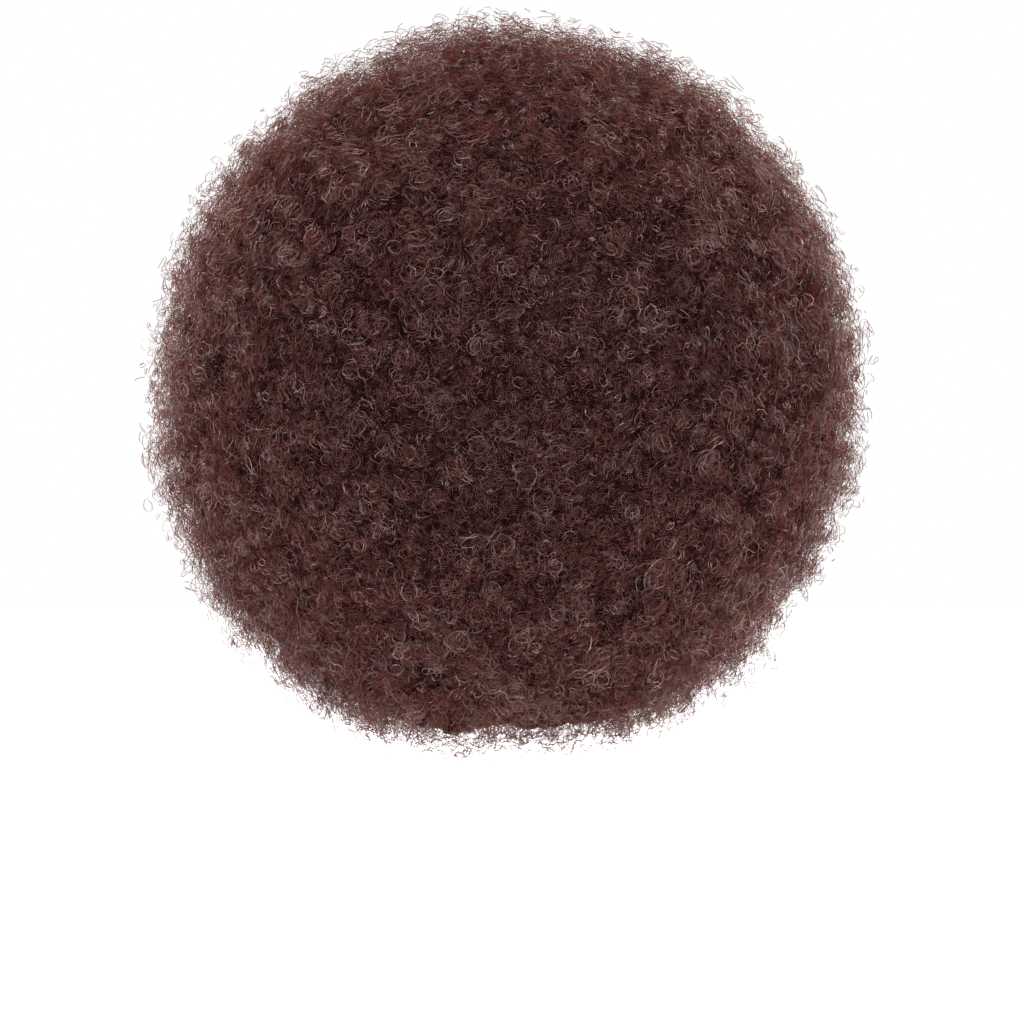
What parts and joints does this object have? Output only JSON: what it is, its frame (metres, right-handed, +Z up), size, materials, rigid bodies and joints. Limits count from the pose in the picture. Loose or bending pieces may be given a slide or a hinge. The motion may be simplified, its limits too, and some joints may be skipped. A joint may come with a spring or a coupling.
{
  "type": "afro wig",
  "caption": "Round afro wig: a deep ball of tight curls on a stretch net cap with an elastic edge, open for the face and neck.",
  "frame": {"origin": "the point on the inside of the cap that rests on the top of the head", "axes": "+Z up, the face opening looks along -Y and the nape is at +Y, the wearer's left ear is at +X"},
  "size_m": [0.3559, 0.3434, 0.3666],
  "materials": {
    "cap_net": "matt stretch net",
    "edge_band": "matt ribbed elastic",
    "hair": "soft synthetic fibre, slightly glossy"
  },
  "bodies": {
    "root": {"cap_net": "cap_net", "edge_band": "edge_band", "hair": "hair"}
  },
  "joints": []
}
